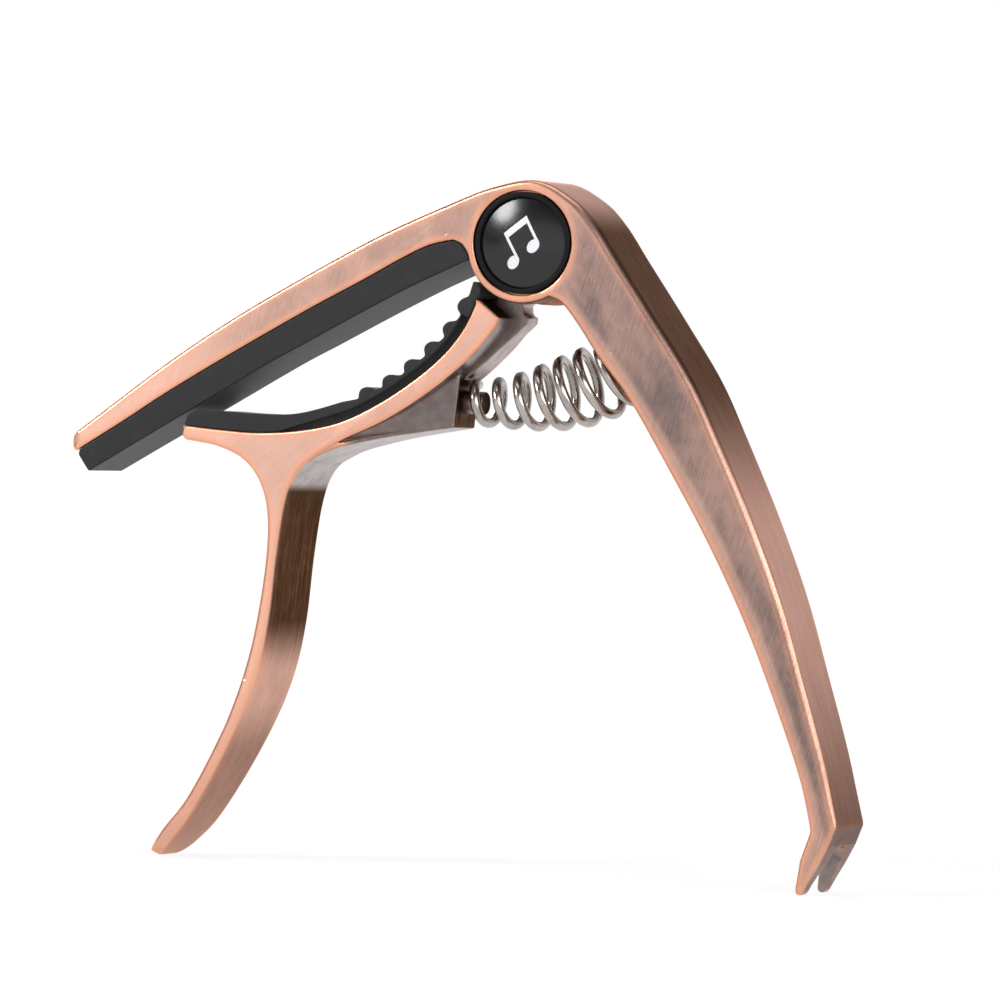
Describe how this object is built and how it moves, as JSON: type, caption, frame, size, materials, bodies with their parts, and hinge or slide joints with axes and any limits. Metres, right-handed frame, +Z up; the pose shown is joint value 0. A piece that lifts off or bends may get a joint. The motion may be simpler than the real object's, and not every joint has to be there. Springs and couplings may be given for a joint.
{
  "type": "guitar capo",
  "caption": "Spring-clamp guitar capo: a bar with a string pad and a sprung saddle with a neck pad turn on a domed hub; the rear handle ends in a bridge-pin fork.",
  "frame": {"origin": "middle of the capo's length and width, on the plane that the front handle's tip and the fork's tips stand on", "axes": "+Z up to the hub, +X from the clamping bar towards the rear handle, Y along the pivot"},
  "size_m": [0.1087, 0.0138, 0.0895],
  "materials": {
    "antique_copper": "brushed antique copper plate on a zinc alloy casting, dark in the recesses",
    "black_silicone": "matte moulded silicone",
    "nickel_wire": "nickel-plated spring wire",
    "pivot_steel": "turned and zinc-plated",
    "white_nylon": "natural nylon",
    "black_plastic": "gloss black moulding",
    "printed_film": null,
    "clear_resin": "clear domed resin"
  },
  "bodies": {
    "clamp_bar": {"upper_lever": "antique_copper", "string_pad": "black_silicone", "coil_spring": "nickel_wire", "pivot_barrel": "pivot_steel", "pivot_screw": "pivot_steel", "front_thrust_washer": "white_nylon", "rear_thrust_washer": "white_nylon", "front_bezel": "black_plastic", "rear_bezel": "black_plastic", "front_badge": "printed_film", "rear_badge": "printed_film", "front_dome": "clear_resin", "rear_dome": "clear_resin"},
    "saddle_lever": {"lower_lever": "antique_copper", "neck_pad": "black_silicone"}
  },
  "joints": [
    {"name": "clamp_pivot", "type": "hinge", "parent": "clamp_bar", "child": "saddle_lever", "pos_m": [0.0086, 0, 0.0814], "axis": [0, -1, 0], "range_deg": [0, 30], "stiffness_Nm_per_rad": 1.2, "springref_deg": -28.65, "deforming": ["coil_spring"]}
  ]
}
